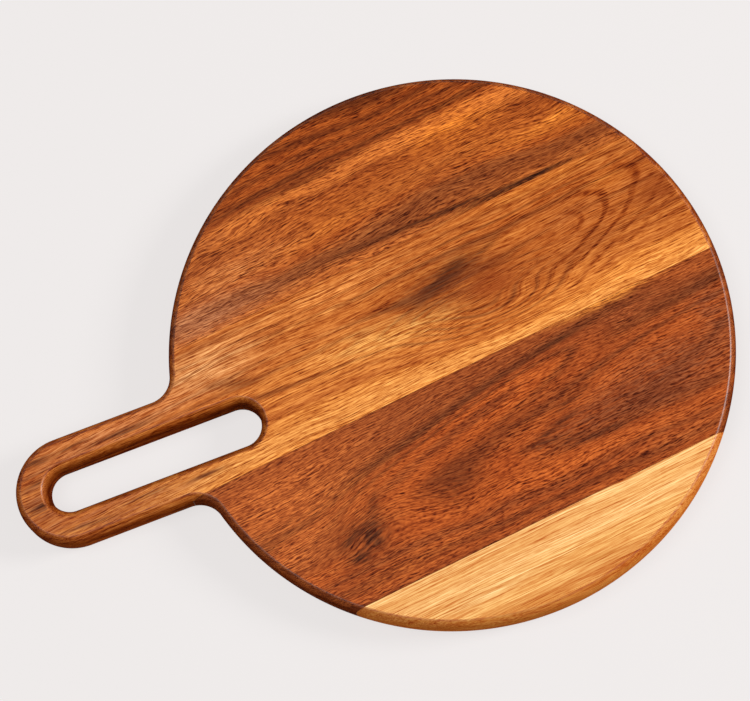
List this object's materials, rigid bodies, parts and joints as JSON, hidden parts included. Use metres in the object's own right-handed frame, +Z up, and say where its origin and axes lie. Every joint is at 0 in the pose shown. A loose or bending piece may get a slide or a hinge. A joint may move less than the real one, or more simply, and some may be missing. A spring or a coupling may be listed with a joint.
{
  "type": "cutting board",
  "caption": "Round wooden cutting board with a long slotted handle, edge-glued from staves of red-brown and golden heartwood and straw sapwood, all edges rounded over.",
  "frame": {"origin": "centre of the disc on the flat underside", "axes": "+Z up out of the cutting face; +X away from the handle, along the handle's centre line; +Y across the board"},
  "size_m": [0.393, 0.3, 0.022],
  "materials": {
    "straw_sapwood": "oiled, satin",
    "red_brown_heartwood": "oiled, satin",
    "golden_heartwood": "oiled, satin",
    "streaked_brown_heartwood": "oiled, satin",
    "amber_wood_glue": "cured wood glue, sanded flush"
  },
  "bodies": {
    "root": {"sapwood_stave": "straw_sapwood", "dark_stave": "red_brown_heartwood", "handle_stave": "golden_heartwood", "upper_stave": "streaked_brown_heartwood", "sapwood_glue_line": "amber_wood_glue", "neck_glue_line": "amber_wood_glue", "upper_glue_line": "amber_wood_glue"}
  },
  "joints": []
}
